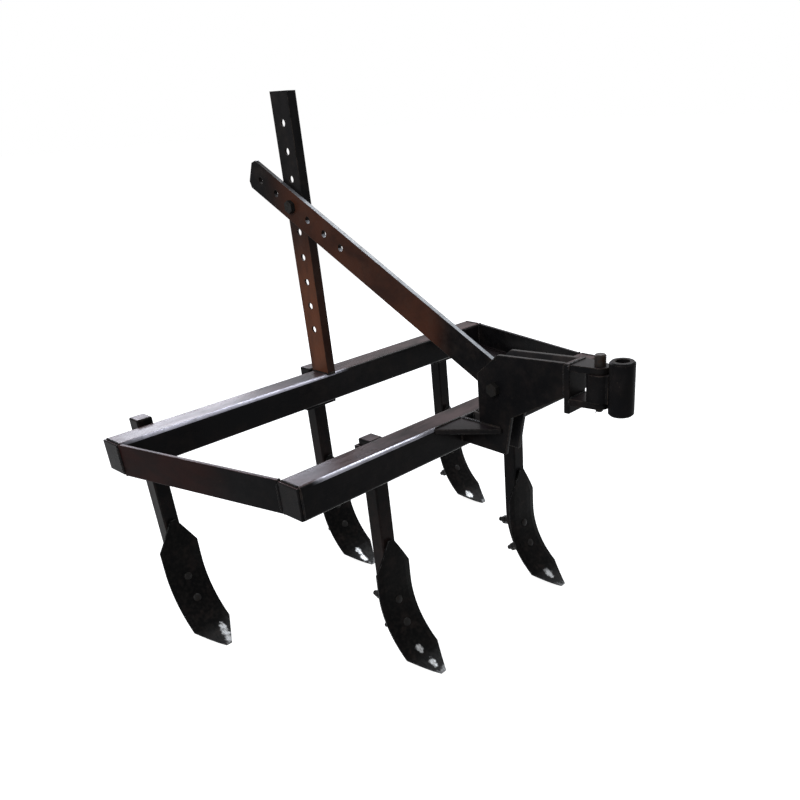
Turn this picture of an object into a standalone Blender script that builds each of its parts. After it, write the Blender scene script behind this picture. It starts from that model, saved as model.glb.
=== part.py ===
"""Five tine cultivator for a walking tractor.

Metres, +Z up, +Y is the way it is pulled, +X is its right hand side.
The ground is z = 0 and the five shovel points stand on it.
The frame is drawn with y = 0 on the rear face of the rear bar; the empty that
carries everything then moves the middle of the whole over the origin.
"""
import bpy
import bmesh
import math
from mathutils import Matrix, Vector

# sizes
GAP = 0.0003              # space left between pieces that touch

# frame of square tube
BAR_TOP = 0.519           # height of the frame's top face
BAR_H = 0.067             # tube height
BAR_W = 0.060             # tube width
WALL = 0.004              # tube wall
BAR_ROUND = 0.006         # outer corner radius of the tube
DEPTH = 0.530             # rear face to front face
REAR_HALF = 0.549         # half the rear bar's length, over its caps
FRONT_HALF = 0.461        # half the front bar's length, over its caps
END_IN = 0.0012           # the slanted bars start this far inside the bars' ends
CAP_T = 0.006             # end cap plate
CAP_IN = 0.0015           # a cap stands inside the tube's outline by this
CAP_EDGE = 0.0012         # flats on a cap's edges

# tines
END_TO_TINE = 0.099       # end of the rear bar to its outer tine
FRONT_PITCH = 0.218       # middle line to a tine on the front bar
PAD_W = 0.090             # clamp pad width
PAD_H = 0.076             # clamp pad height
PAD_T = 0.0080            # clamp pad thickness
PAD_DROP = 0.020          # pad top below the frame's top face
PAD_EDGE = 0.0010         # flats on the edges of pads and straps
SHANK_X = 0.035           # shank section, across
SHANK_Y = 0.036           # shank section, fore and aft
SHANK_EDGE = 0.0022       # small flats on the shank's edges
SHANK_TURN = 42.0         # degrees the shank follows the curve
STRAP_T = 0.006           # clamp strap thickness
BEND_Z = 0.172            # height where the shovel's curve starts
BEND_R = 0.177            # radius of the shovel's front face
BEND_TURN = 70.0          # degrees it turns forward
SHOVEL_T = 0.0070         # shovel plate
SHOVEL_W = 0.094          # shovel width
SHOVEL_FLAT = 0.036       # width of the flat part that lies on the shank
SHOVEL_DISH = 0.0040      # how far its sides bend back
SHOVEL_POINT = 0.068      # length of each of its two points
SHOVEL_TIP = 0.014        # width left at a point
SHOVEL_RISE = 0.115       # straight part above the curve
SHARP_T = 0.0028          # plate left at the points after sharpening
SIDE_T = 0.0038           # plate left along its sides

# mast upright of unequal angle
MAST_Y = 0.060            # long leg
MAST_X = 0.022            # short leg
MAST_T = 0.005            # leg thickness
MAST_FACE = 0.0125        # x of the long leg's outer face
MAST_TALL = 0.605         # height of its top end above the frame
HOLE_PITCH = 0.055        # mast hole pitch
HOLE_R = 0.0075            # hole radius in mast, stay and tongue
HOLE_END = 0.060          # top hole to the mast's end
HOLE_COUNT = 9
CROSS_HOLE = 3            # the stay is bolted at this hole, counted from 0

# sloping stay of flat bar
STAY_T = 0.010            # thickness
STAY_W = 0.063            # width
STAY_END = 0.038          # rear end to the first hole
STAY_TOE = 0.033          # foot bolt back from the front end
STAY_NICK = 0.010         # flats across its four corners
STAY_PITCH = 0.0565       # hole pitch
STAY_COUNT = 6
STAY_HOLE = 2             # this hole is on the crossing bolt, counted from 0
FOOT_FORE = 0.095         # foot bolt ahead of the frame's front face
FOOT_RISE = 0.0782         # foot bolt above the frame's top face

# bolts that hold the stay
BOLT_FIT = 0.0008         # hole to bolt, on the radius
BOLT_AF = 0.024           # head and nut across the flats
BOLT_H = 0.010            # head and nut height
BOLT_TAIL = 0.004         # thread that stands out of the nut
SLEEVE_R = 0.0135         # outer radius of the foot's two sleeves

# hitch tongue, measured ahead of the front face and above the frame's top
TONGUE_X = 0.0235         # middle of the tongue
TONGUE_W = 0.048          # width over its two plates
PLATE_T = 0.008           # side plate
PLATE_DEEP = 0.051        # side plate's reach down the bar's face
TOE_Y = 0.117             # front end of its level lower edge
TOE_DEEP = 0.054
KNEE_Y = 0.134            # where the lower edge turns up to the nose
KNEE_RISE = 0.026         # the knee stands above the frame's top face
HEEL_Y = 0.052            # upright rear edge
HEEL_RISE = 0.102
NECK_Y = 0.105            # rear end of the level top edge
NECK_RISE = 0.146
GUSSET_X = 0.079          # gusset leg along the bar
GUSSET_Y = 0.111          # gusset leg along the tongue
GUSSET_T = 0.010
GUSSET_NOSE = 0.004       # flat left at a gusset's sharp corners
GUSSET_EDGE = 0.0010
NOSE_Y = 0.273            # front face of the nose plate
NOSE_T = 0.012
NOSE_W = 0.052
NOSE_RISE = 0.064         # lower edge of the nose plate
NOSE_H = 0.092
NOSE_EDGE = 0.0015
NOSE_IN = 0.030           # the plates' lower edge above the nose's lower edge
LUG_T = 0.012             # the two lugs that hold the swivel
LUG_W = 0.052
LUG_LOW = 0.017           # lower lug above the nose's lower edge
LUG_TALL = 0.075          # over both lugs
PIVOT_FORE = 0.048        # swivel pin ahead of the nose
LUG_R = 0.0185            # round end of the lugs
EYE_R = 0.024             # round end of the eye
PIN_R = 0.007
PIN_FIT = 0.0004          # running clearance round the pin
PIN_EDGE = 0.002          # chamfers on the pin
HEAD_R = 0.0105           # pin head
HEAD_H = 0.020
PIN_TAIL = 0.009          # pin below the lower lug
WEB_W = 0.025             # web between eye and barrel
BARREL_FORE = 0.0450      # barrel ahead of the swivel pin
BARREL_R = 0.023
BARREL_BORE = 0.013
BARREL_EDGE = 0.003       # chamfers at its ends
BARREL_H = 0.096
BARREL_DROP = 0.0057       # barrel's lower end below the lower lug

# what follows from them
BAR_LOW = BAR_TOP - BAR_H
FRONT_BACK = DEPTH - BAR_W
REAR_PITCH = REAR_HALF - END_TO_TINE
SHANK_FRONT = PAD_T + 2 * GAP
ALONG_X = (math.pi / 2, 0.0, math.pi / 2)

# table of the tines: name, x, rear face of the bar it hangs on, and how far its
# shank stands above the frame's top face
TINES = [
    {"name": "rear_right", "x": REAR_PITCH, "face": 0.0, "rise": 0.010},
    {"name": "rear_middle", "x": 0.0, "face": 0.0, "rise": 0.003},
    {"name": "rear_left", "x": -REAR_PITCH, "face": 0.0, "rise": 0.010},
    {"name": "front_right", "x": FRONT_PITCH, "face": FRONT_BACK, "rise": -0.006},
    {"name": "front_left", "x": -FRONT_PITCH, "face": FRONT_BACK, "rise": -0.006},
]
SIDES = [{"name": "right", "sign": 1}, {"name": "left", "sign": -1}]

# setup
for old in list(bpy.data.objects):
    bpy.data.objects.remove(old, do_unlink=True)

parts = bpy.data.collections.new("cultivator")
cutters = bpy.data.collections.new("cutters")
bpy.context.scene.collection.children.link(parts)
bpy.context.scene.collection.children.link(cutters)


def material(name, colour, rough, metal):
    """One plain Principled material."""
    m = bpy.data.materials.new(name)
    m.use_nodes = True
    b = m.node_tree.nodes["Principled BSDF"]
    b.inputs["Base Color"].default_value = colour
    b.inputs["Roughness"].default_value = rough
    b.inputs["Metallic"].default_value = metal
    m.diffuse_color = colour
    return m


FRAME_PAINT = material("frame_paint", (0.020, 0.020, 0.022, 1.0), 0.32, 0.0)
TINE_PAINT = material("tine_paint", (0.016, 0.016, 0.018, 1.0), 0.35, 0.0)
MAST_PAINT = material("mast_paint", (0.045, 0.024, 0.020, 1.0), 0.30, 0.0)
HITCH_PAINT = material("hitch_paint", (0.024, 0.022, 0.024, 1.0), 0.34, 0.0)
STEEL = material("shovel_steel", (0.32, 0.31, 0.30, 1.0), 0.30, 1.0)
ZINC = material("zinc", (0.45, 0.44, 0.42, 1.0), 0.30, 1.0)


def empty(name, at, parent):
    """A point that carries other pieces."""
    ob = bpy.data.objects.new(name, None)
    ob.location = at
    ob.parent = parent
    ob.empty_display_size = 0.05
    parts.objects.link(ob)
    return ob


def put(name, data, look, parent, at=(0, 0, 0), turn=(0, 0, 0)):
    """An object made of this data, placed and turned under its parent."""
    ob = bpy.data.objects.new(name, data)
    ob.location = at
    ob.rotation_euler = turn
    ob.parent = parent
    if not data.materials:
        data.materials.append(look)
    parts.objects.link(ob)
    return ob


def tool(name, data, parent, at=(0, 0, 0), turn=(0, 0, 0)):
    """An object that only cuts or joins another one."""
    ob = bpy.data.objects.new(name, data)
    ob.location = at
    ob.rotation_euler = turn
    ob.parent = parent
    ob.hide_render = True
    ob.display_type = "WIRE"
    cutters.objects.link(ob)
    return ob


def mesh_of(bm, name):
    """The finished mesh of a bmesh."""
    data = bpy.data.meshes.new(name)
    bm.to_mesh(data)
    bm.free()
    return data


def block(name, size):
    """A box of this size round its own middle."""
    bm = bmesh.new()
    bmesh.ops.create_cube(bm, size=1.0)
    bmesh.ops.scale(bm, vec=size, verts=bm.verts)
    return mesh_of(bm, name)


def rods(name, radius, length, spots, sides):
    """Round or six sided rods along X at (y, z) spots, in one mesh."""
    bm = bmesh.new()
    for y, z in spots:
        place = Matrix.Translation((0, y, z)) @ Matrix.Rotation(math.pi / 2, 4, "Y")
        place = place @ Matrix.Rotation(math.pi / sides, 4, "Z")
        bmesh.ops.create_cone(bm, cap_ends=True, segments=sides, radius1=radius,
                              radius2=radius, depth=length, matrix=place)
    return mesh_of(bm, name)


def ring(cx, cy, r, a0, a1, n):
    """Points along part of a circle, angles in degrees."""
    out = []
    for i in range(n + 1):
        a = math.radians(a0 + (a1 - a0) * i / n)
        out.append((cx + r * math.cos(a), cy + r * math.sin(a)))
    return out


def circle(cx, cy, r, n):
    """A whole circle of n points."""
    return ring(cx, cy, r, 0, 360 - 360 / n, n - 1)


def rounded(half, low, high, r):
    """A rounded rectangle, from -half to half and from low to high."""
    out = []
    for cx, cy, a in ((half - r, high - r, 0), (r - half, high - r, 90),
                      (r - half, low + r, 180), (half - r, low + r, 270)):
        out += ring(cx, cy, r, a, a + 90, 3)
    return out


def flat(name, loops, thick):
    """A flat outline with holes, filled and pushed out both ways."""
    data = bpy.data.curves.new(name, "CURVE")
    data.dimensions = "2D"
    data.fill_mode = "BOTH"
    data.extrude = thick / 2
    for loop in loops:
        spline = data.splines.new("POLY")
        spline.points.add(len(loop) - 1)
        for point, (u, v) in zip(spline.points, loop):
            point.co = (u, v, 0.0, 1.0)
        spline.use_cyclic_u = True
    return data


def meshed(data, name):
    """The closed mesh of an outline, so that it can be sheared or cut."""
    ob = bpy.data.objects.new(name, data)
    bpy.context.scene.collection.objects.link(ob)
    now = bpy.context.evaluated_depsgraph_get()
    mesh = bpy.data.meshes.new_from_object(ob.evaluated_get(now))
    bpy.data.objects.remove(ob, do_unlink=True)
    bm = bmesh.new()
    bm.from_mesh(mesh)
    bmesh.ops.remove_doubles(bm, verts=bm.verts, dist=0.00001)
    bm.to_mesh(mesh)
    bm.free()
    mesh.name = name
    return mesh


def turned(name, profile, look, parent, at, steps, hollow=False, turn=(0, 0, 0)):
    """A profile of (radius, height) points screwed round its own Z."""
    data = bpy.data.meshes.new(name)
    edges = [(i, i + 1) for i in range(len(profile) - 1)]
    if hollow:
        edges.append((len(profile) - 1, 0))
    data.from_pydata([(r, 0.0, z) for r, z in profile], edges, [])
    ob = put(name, data, look, parent, at, turn)
    m = ob.modifiers.new("turn", "SCREW")
    m.angle = 2 * math.pi
    m.steps = steps
    m.render_steps = steps
    m.use_merge_vertices = True
    m.merge_threshold = 0.00002
    m.use_smooth_shade = False
    return ob


def bevel(ob, width, segments=1):
    """Small flats on the sharp edges."""
    m = ob.modifiers.new("edge", "BEVEL")
    m.width = width
    m.segments = segments
    m.limit_method = "ANGLE"
    m.angle_limit = math.radians(40)


def solidify(ob, thick, offset, group=None, least=1.0):
    """Give an open surface its thickness."""
    m = ob.modifiers.new("plate", "SOLIDIFY")
    m.thickness = thick
    m.offset = offset
    m.use_even_offset = True
    if group:
        m.vertex_group = group
        m.thickness_vertex_group = least


def boolean(ob, other, how):
    """Cut the other object out of this one, or join it on."""
    m = ob.modifiers.new(how.lower() + "_" + other.name, "BOOLEAN")
    m.operation = how
    m.solver = "EXACT"
    m.object = other


def smooth(data, angle=35):
    """Round pieces are shaded smooth with their sharp edges kept."""
    data.shade_smooth()
    data.set_sharp_from_angle(angle=math.radians(angle))


root = empty("cultivator_origin", (0, 0, 0), None)


def square_tube(name, length, across=BAR_W):
    """Outline of the square tube and its hollow, pushed out to a length."""
    outer = rounded(across / 2, -BAR_H / 2, BAR_H / 2, BAR_ROUND)
    inner = rounded(across / 2 - WALL, WALL - BAR_H / 2, BAR_H / 2 - WALL, BAR_ROUND - WALL)
    return flat(name, [outer, inner], length)


# the two cross bars and their end caps
bar_mid = BAR_TOP - BAR_H / 2
for bar_name, half, y0 in (("rear", REAR_HALF, 0.0), ("front", FRONT_HALF, FRONT_BACK)):
    tube = square_tube(bar_name + "_bar", 2 * (half - CAP_T - GAP))
    put(bar_name + "_bar", tube, FRAME_PAINT, root, (0, y0 + BAR_W / 2, bar_mid), ALONG_X)
    for side in SIDES:
        cap_name = "%s_cap_%s" % (bar_name, side["name"])
        cap = put(cap_name, block(cap_name, (CAP_T, BAR_W - 2 * CAP_IN, BAR_H - 2 * CAP_IN)),
                  FRAME_PAINT, root, (side["sign"] * (half - CAP_T / 2), y0 + BAR_W / 2, bar_mid))
        bevel(cap, CAP_EDGE)

# the slanted end bars: square tube sheared so that its ends lie on the cross bars
opening = DEPTH - 2 * BAR_W
lean = (REAR_HALF - FRONT_HALF) / opening
across = BAR_W * math.sqrt(1 + lean * lean)
bar_length = opening - 2 * GAP
for side in SIDES:
    name = "end_bar_" + side["name"]
    shape = meshed(square_tube(name, bar_length, across), name)
    shape.transform(Matrix.Rotation(math.pi / 2, 4, "X"))
    shear = Matrix.Identity(4)
    shear[0][1] = -side["sign"] * lean
    shape.transform(shear)
    middle_x = (REAR_HALF + FRONT_HALF) / 2 - END_IN - across / 2
    put(name, shape, FRAME_PAINT, root, (side["sign"] * middle_x, DEPTH / 2, bar_mid))

# tines, each drawn round the point where its bar's rear face meets its middle line
curve_y = SHOVEL_T + GAP + BEND_R          # centre of the curve ahead of the shank's front
curve_low = BEND_Z - (BEND_R + SHARP_T) * math.sin(math.radians(BEND_TURN))
tail = curve_low / math.cos(math.radians(BEND_TURN))
curve_run = BEND_R * math.radians(BEND_TURN)
blade = SHOVEL_RISE + curve_run + tail


def shank_mesh(rise):
    """Square bar, its lower end spun forward behind the shovel."""
    bm = bmesh.new()
    tall = BAR_TOP + rise - BEND_Z
    bmesh.ops.create_cube(bm, size=1.0)
    bmesh.ops.scale(bm, vec=(SHANK_X, SHANK_Y, tall), verts=bm.verts)
    bmesh.ops.translate(bm, vec=(0, -SHANK_FRONT - SHANK_Y / 2, BEND_Z + tall / 2), verts=bm.verts)
    bm.normal_update()
    bmesh.ops.delete(bm, geom=[f for f in bm.faces if f.normal.z < -0.9], context="FACES_ONLY")
    rim = [e for e in bm.edges if e.is_boundary]
    bmesh.ops.spin(bm, geom=rim, cent=(0, curve_y - SHANK_FRONT, BEND_Z), axis=(1, 0, 0),
                   dvec=(0, 0, 0), angle=math.radians(SHANK_TURN), steps=10, use_duplicate=False)
    bmesh.ops.holes_fill(bm, edges=[e for e in bm.edges if e.is_boundary], sides=0)
    bmesh.ops.recalc_face_normals(bm, faces=bm.faces)
    return mesh_of(bm, "shank")


def shovel_line(s):
    """Middle line of the shovel's front: (y, z) and the angle it has turned."""
    if s <= SHOVEL_RISE:
        return curve_y - BEND_R, BEND_Z + SHOVEL_RISE - s, 0.0
    turn = min(s - SHOVEL_RISE, curve_run) / BEND_R
    y = curve_y - BEND_R * math.cos(turn)
    z = BEND_Z - BEND_R * math.sin(turn)
    more = max(0.0, s - SHOVEL_RISE - curve_run)
    return y + more * math.sin(turn), z - more * math.cos(turn), turn


def shovel_mesh():
    """Open grid bent, dished and drawn to a point at both ends."""
    point_rows = 4
    middle_rows = 14
    columns = 6
    rows = 2 * point_rows + middle_rows
    bm = bmesh.new()
    bmesh.ops.create_grid(bm, x_segments=columns, y_segments=rows, size=0.5)
    weights = bm.verts.layers.deform.verify()
    for v in bm.verts:
        row = round((0.5 - v.co.y) * rows)
        side = 2 * v.co.x
        inner = min(max(row - point_rows, 0), middle_rows) / middle_rows
        ends = (min(row, point_rows) + max(row - point_rows - middle_rows, 0)) / point_rows
        s = SHOVEL_POINT * ends + (blade - 2 * SHOVEL_POINT) * inner
        near = min(s, blade - s, SHOVEL_POINT) / SHOVEL_POINT
        x = side * (SHOVEL_TIP + (SHOVEL_W - SHOVEL_TIP) * near) / 2
        over = max(0.0, abs(x) - SHOVEL_FLAT / 2) / (SHOVEL_W - SHOVEL_FLAT) * 2
        y, z, turn = shovel_line(s)
        dish = SHOVEL_DISH * over * over
        v.co = (x, y - SHANK_FRONT - dish * math.cos(turn), z - dish * math.sin(turn))
        thick = SHARP_T + (SHOVEL_T - SHARP_T) * min(1.0, 2 * near)
        if abs(side) > 0.99:
            thick = min(thick, SIDE_T)
        v[weights][0] = (thick - SHARP_T) / (SHOVEL_T - SHARP_T)
    bm.normal_update()
    return mesh_of(bm, "shovel")


def strap_mesh():
    """Hat shaped line round the shank, drawn up to the clamp's height."""
    inner = SHANK_X / 2 + GAP
    back = -SHANK_FRONT - SHANK_Y - GAP
    pad = -PAD_T - 2 * GAP
    line = [(-PAD_W / 2, pad), (-inner, pad), (-inner, back), (inner, back), (inner, pad),
            (PAD_W / 2, pad)]
    bm = bmesh.new()
    verts = [bm.verts.new((x, y, -PAD_H / 2)) for x, y in line]
    edges = [bm.edges.new(pair) for pair in zip(verts, verts[1:])]
    grown = bmesh.ops.extrude_edge_only(bm, edges=edges)["geom"]
    new = [g for g in grown if isinstance(g, bmesh.types.BMVert)]
    bmesh.ops.translate(bm, vec=(0, 0, PAD_H), verts=new)
    bmesh.ops.recalc_face_normals(bm, faces=bm.faces)
    return mesh_of(bm, "strap")


pad_data = block("pad", (PAD_W, PAD_T, PAD_H))
strap_data = strap_mesh()
shovel_data = shovel_mesh()
smooth(shovel_data)
clamp_mid = BAR_TOP - PAD_DROP - PAD_H / 2
for t in TINES:
    place = empty("tine_" + t["name"], (t["x"], t["face"], 0), root)
    pad = put("pad_" + t["name"], pad_data, TINE_PAINT, place, (0, -GAP - PAD_T / 2, clamp_mid))
    bevel(pad, PAD_EDGE)
    shank_data = shank_mesh(t["rise"])
    smooth(shank_data)
    shank = put("shank_" + t["name"], shank_data, TINE_PAINT, place)
    bevel(shank, SHANK_EDGE)
    strap = put("strap_" + t["name"], strap_data, TINE_PAINT, place, (0, 0, clamp_mid))
    solidify(strap, STRAP_T, 1.0)
    bevel(strap, PAD_EDGE)
    shovel = put("shovel_" + t["name"], shovel_data, STEEL, place)
    shovel.vertex_groups.new(name="thickness")
    solidify(shovel, SHOVEL_T, 1.0, "thickness", SHARP_T / SHOVEL_T)

# mast upright: an L of angle with a row of holes
mast_foot = BAR_TOP + GAP
mast_height = MAST_TALL - GAP
corner = [(MAST_FACE, 0.0), (MAST_FACE, MAST_Y), (MAST_FACE - MAST_X, MAST_Y)]
bm = bmesh.new()
verts = [bm.verts.new((x, y, 0)) for x, y in corner]
edges = [bm.edges.new(pair) for pair in zip(verts, verts[1:])]
grown = bmesh.ops.extrude_edge_only(bm, edges=edges)["geom"]
bmesh.ops.translate(bm, vec=(0, 0, mast_height),
                    verts=[g for g in grown if isinstance(g, bmesh.types.BMVert)])
bmesh.ops.recalc_face_normals(bm, faces=bm.faces)
mast = put("mast_upright", mesh_of(bm, "mast_upright"), MAST_PAINT, root, (0, 0, mast_foot))
solidify(mast, MAST_T, -1.0)
top_hole = MAST_TALL - GAP - HOLE_END
mast_holes = [(MAST_Y / 2, top_hole - i * HOLE_PITCH) for i in range(HOLE_COUNT)]
drill = tool("mast_drill", rods("mast_drill", HOLE_R, 3 * MAST_X, mast_holes, 20), mast)
boolean(mast, drill, "DIFFERENCE")

# stay: flat bar from the mast's crossing bolt to the tongue's foot bolt
cross = Vector((0, MAST_Y / 2, mast_foot + top_hole - CROSS_HOLE * HOLE_PITCH))
foot = Vector((0, DEPTH + FOOT_FORE, BAR_TOP + FOOT_RISE))
slope = math.atan2(cross.z - foot.z, foot.y - cross.y)
reach = (foot - cross).length
stay_x = MAST_FACE + GAP + STAY_T / 2
half = STAY_W / 2
toe = reach + STAY_TOE
heel = -STAY_END - STAY_HOLE * STAY_PITCH
outline = [
    (heel, STAY_NICK - half), (heel + STAY_NICK, -half), (toe - STAY_NICK, -half),
    (toe, STAY_NICK - half), (toe, half - STAY_NICK), (toe - STAY_NICK, half),
    (heel + STAY_NICK, half), (heel, half - STAY_NICK),
]
holes = [circle(STAY_PITCH * (i - STAY_HOLE), 0, HOLE_R, 20) for i in range(STAY_COUNT)]
holes.append(circle(reach, 0, HOLE_R, 20))
put("stay_bar", flat("stay_bar", [outline] + holes, STAY_T), MAST_PAINT, root,
    (stay_x, cross.y, cross.z), (math.pi / 2, slope, math.pi / 2))


def bolt(name, at, low, high):
    """Bolt along X through what lies from low to high, with head and nut."""
    radius = HOLE_R - BOLT_FIT
    nut_end = low - GAP - BOLT_H - BOLT_TAIL
    head_end = high + GAP + BOLT_H
    stem_end = head_end - BOLT_H / 2
    middle = (nut_end + stem_end) / 2
    ob = put(name, rods(name, radius, stem_end - nut_end, [(0, 0)], 18), ZINC, root,
             (middle, at.y, at.z))
    for end_name, x in (("head", high + GAP + BOLT_H / 2), ("nut", low - GAP - BOLT_H / 2)):
        hex_name = name + "_" + end_name
        across_points = BOLT_AF / 2 / math.cos(math.pi / 6)
        part = tool(hex_name, rods(hex_name, across_points, BOLT_H, [(0, 0)], 6), root,
                    (x, at.y, at.z))
        boolean(ob, part, "UNION")
    return ob


bolt("stay_cross_bolt", cross, MAST_FACE - MAST_T, MAST_FACE + GAP + STAY_T)

# hitch tongue
tongue = empty("tongue_origin", (TONGUE_X, DEPTH, BAR_TOP), root)
plate_front = NOSE_Y - NOSE_T - GAP
plate_x = (TONGUE_W - PLATE_T) / 2
side_outline = [
    (GAP, -PLATE_DEEP), (TOE_Y, -TOE_DEEP), (KNEE_Y, KNEE_RISE), (plate_front, NOSE_RISE + NOSE_IN),
    (plate_front, NOSE_RISE + NOSE_H), (NECK_Y, NECK_RISE), (HEEL_Y, HEEL_RISE), (HEEL_Y, 0.0),
    (GAP, 0.0),
]
foot_hole = circle(FOOT_FORE, FOOT_RISE, HOLE_R, 20)
for side in SIDES:
    s = side["sign"]
    name = "tongue_plate_" + side["name"]
    put(name, flat(name, [side_outline, foot_hole], PLATE_T), HITCH_PAINT, tongue,
        (s * plate_x, 0, 0), ALONG_X)
    near = TONGUE_W / 2 + GAP
    corner_points = [
        (s * near, GAP), (s * (near + GUSSET_X), GAP), (s * (near + GUSSET_X), GAP + GUSSET_NOSE),
        (s * (near + GUSSET_NOSE), GAP + GUSSET_Y), (s * near, GAP + GUSSET_Y),
    ]
    name = "gusset_" + side["name"]
    gusset = put(name, meshed(flat(name, [corner_points], GUSSET_T), name), HITCH_PAINT, tongue,
                 (0, 0, -GUSSET_T / 2))
    bevel(gusset, GUSSET_EDGE)

bolt("stay_foot_bolt", foot, TONGUE_X - TONGUE_W / 2, TONGUE_X + TONGUE_W / 2)

# sleeves that keep the stay in its place between the plates
gap_low = TONGUE_X - TONGUE_W / 2 + PLATE_T + GAP
gap_high = TONGUE_X + TONGUE_W / 2 - PLATE_T - GAP
for side_name, low, high in (("left", gap_low, MAST_FACE),
                             ("right", MAST_FACE + 2 * GAP + STAY_T, gap_high)):
    half = (high - low) / 2
    sleeve = turned("foot_sleeve_" + side_name, [(SLEEVE_R, half), (SLEEVE_R, -half), (HOLE_R, -half),
                                                 (HOLE_R, half)], ZINC, root,
                    ((low + high) / 2, foot.y, foot.z), 24, True, (0, math.pi / 2, 0))

# nose plate and the two lugs that hold the swivel
nose = put("hitch_nose", block("hitch_nose", (NOSE_W, NOSE_T, NOSE_H)), HITCH_PAINT, tongue,
           (0, NOSE_Y - NOSE_T / 2, NOSE_RISE + NOSE_H / 2))
bevel(nose, NOSE_EDGE)
lug_low = NOSE_RISE + LUG_LOW
lug_high = lug_low + LUG_TALL
pin_hole = circle(0, 0, PIN_R + PIN_FIT, 24)
lug_outline = [(-LUG_W / 2, GAP - PIVOT_FORE), (LUG_W / 2, GAP - PIVOT_FORE)]
lug_outline += ring(0, 0, LUG_R, 12, 168, 12)
for lug_name, z in (("top", lug_high - LUG_T / 2), ("bottom", lug_low + LUG_T / 2)):
    name = "hitch_lug_" + lug_name
    put(name, flat(name, [lug_outline, pin_hole], LUG_T), HITCH_PAINT, tongue,
        (0, NOSE_Y + PIVOT_FORE, z))

# swivel: eye with its web, and the barrel for the tractor's pin
swivel = empty("swivel_axis", (0, NOSE_Y + PIVOT_FORE, lug_low), tongue)
hug_r = BARREL_R + GAP
hug = math.degrees(math.asin(WEB_W / 2 / hug_r))
bite = math.degrees(math.asin(WEB_W / 2 / EYE_R))
eye_outline = ring(0, 0, EYE_R, 90 + bite, 450 - bite, 20)
eye_outline += ring(0, BARREL_FORE, hug_r, 270 + hug, 270 - hug, 6)
eye_tall = LUG_TALL - 2 * LUG_T - 2 * GAP
put("swivel_eye", flat("swivel_eye", [eye_outline, pin_hole], eye_tall), HITCH_PAINT, swivel,
    (0, 0, LUG_TALL / 2))
barrel_line = [(BARREL_R - BARREL_EDGE, BARREL_H), (BARREL_R, BARREL_H - BARREL_EDGE),
               (BARREL_R, BARREL_EDGE), (BARREL_R - BARREL_EDGE, 0), (BARREL_BORE, 0),
               (BARREL_BORE, BARREL_H)]
barrel = turned("hitch_barrel", barrel_line, HITCH_PAINT, swivel, (0, BARREL_FORE, -BARREL_DROP),
                36, True)

# the swivel's pin hangs by its head on the upper lug
head = LUG_TALL + GAP
turned("hitch_pin", [(0, head + HEAD_H), (HEAD_R - PIN_EDGE, head + HEAD_H),
                     (HEAD_R, head + HEAD_H - PIN_EDGE), (HEAD_R, head), (PIN_R, head),
                     (PIN_R, PIN_EDGE - PIN_TAIL), (PIN_R - PIN_EDGE, -PIN_TAIL), (0, -PIN_TAIL)],
       ZINC, tongue, (0, NOSE_Y + PIVOT_FORE, lug_low), 24)

# stand the points on the ground and put the middle over the origin
bpy.context.view_layer.update()
now = bpy.context.evaluated_depsgraph_get()
spots = []
for ob in parts.objects:
    if ob.type != "EMPTY":
        seen = ob.evaluated_get(now)
        spots += [seen.matrix_world @ v.co for v in seen.to_mesh().vertices]
        seen.to_mesh_clear()
root.location = (0, -(min(p.y for p in spots) + max(p.y for p in spots)) / 2,
                 -min(p.z for p in spots))
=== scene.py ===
"""Looks of a five tine cultivator: paint, worn steel, bolts, welds, light and camera.

Metres, +Z up, +Y is the way it is pulled, +X its right hand side.
"""
import math
import random
import bpy
import bmesh
from mathutils import Matrix, Vector


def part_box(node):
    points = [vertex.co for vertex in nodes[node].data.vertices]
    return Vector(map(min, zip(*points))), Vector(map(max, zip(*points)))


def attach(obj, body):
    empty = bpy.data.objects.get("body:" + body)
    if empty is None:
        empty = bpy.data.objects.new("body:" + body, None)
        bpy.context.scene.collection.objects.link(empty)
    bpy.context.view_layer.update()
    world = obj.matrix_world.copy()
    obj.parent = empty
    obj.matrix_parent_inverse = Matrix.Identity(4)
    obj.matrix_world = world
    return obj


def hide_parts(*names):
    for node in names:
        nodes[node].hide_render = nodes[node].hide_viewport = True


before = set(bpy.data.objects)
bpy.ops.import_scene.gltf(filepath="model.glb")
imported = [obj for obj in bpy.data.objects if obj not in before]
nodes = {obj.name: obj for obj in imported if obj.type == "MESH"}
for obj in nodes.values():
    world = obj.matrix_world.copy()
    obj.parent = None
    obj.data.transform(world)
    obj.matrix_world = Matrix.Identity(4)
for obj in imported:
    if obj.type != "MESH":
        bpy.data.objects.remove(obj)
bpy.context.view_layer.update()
FRAME = "frame"
TINES = ["rear_right", "rear_middle", "rear_left", "front_right", "front_left"]
SIDES = (("right", 1), ("left", -1))    # name, sign of X
GAP = 0.0003             # space that the solids keep where they touch
UP = Vector((0, 0, 1))
BACKWARD = Vector((0, -1, 0))

# a shovel's front follows a curve about a line along X
CURVE_Y = 0.1757         # curve's centre ahead of the bar's rear face
CURVE_Z = 0.172
CURVE_R = 0.177
SHOVEL_T = 0.0070
SHANK_DEEP = 0.0363      # shank and its gap to the shovel


def curve_centre(tine):
    """Centre of a shovel's curve, in the middle of its width."""
    low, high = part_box("pad_" + tine)
    return Vector(((low.x + high.x) / 2, high.y + GAP + CURVE_Y, CURVE_Z))


def outward(degrees):
    """Direction from a curve's centre to its shovel, turned down from the rear."""
    a = math.radians(degrees)
    return Vector((0, -math.cos(a), -math.sin(a)))


# camera
CAM_AT = (1.15821, 1.20200, 1.09754)
CAM_RIGHT = (-0.654777, 0.754372, -0.046801)
CAM_DOWN = (0.386497, 0.280971, -0.878450)
CAM_FORWARD = (-0.649529, -0.593278, -0.475536)
LENS = 35.934
SENSOR = 36.0
SHIFT = (-0.11018, 0.15795)

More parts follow.
